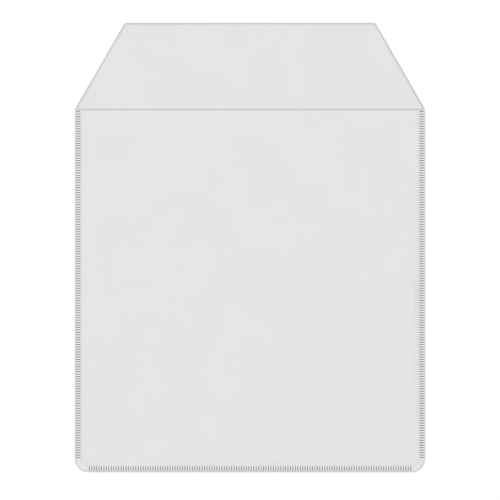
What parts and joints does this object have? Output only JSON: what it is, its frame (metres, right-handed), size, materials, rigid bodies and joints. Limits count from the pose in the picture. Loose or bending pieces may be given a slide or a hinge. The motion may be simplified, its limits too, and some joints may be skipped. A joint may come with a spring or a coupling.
{
  "type": "sheet protector",
  "caption": "Near-square pocket of clear hazy film, welded with fine ticks along its sides and bottom, with an open mouth and a tapered flap that folds over the front.",
  "frame": {"origin": "centre of the flat sleeve's outline, flap included, on its back face", "axes": "+X across the width, +Y from the bottom weld towards the tip of the flap, +Z from the back film to the front film"},
  "size_m": [0.13, 0.1668, 0.0018],
  "materials": {
    "film": "clear film with a slight even haze",
    "weld": "clear film pressed into fine ticks",
    "rim": "melted cut edge, smooth and a little darker"
  },
  "bodies": {
    "pocket": {"back_panel": "film", "front_panel": "film", "left_flank": "film", "right_flank": "film", "bottom_flank": "film", "left_corner_flank": "film", "right_corner_flank": "film", "left_weld": "weld", "right_weld": "weld", "bottom_weld": "weld", "left_corner_weld": "weld", "right_corner_weld": "weld", "pocket_rim": "rim", "fold": "film"},
    "flap": {"flap": "film", "flap_rim": "rim"}
  },
  "joints": [
    {"name": "flap_fold", "type": "hinge", "parent": "pocket", "child": "flap", "pos_m": [0, 0.05125, 0.0012], "axis": [1, 0, 0], "range_deg": [0, 180]}
  ]
}
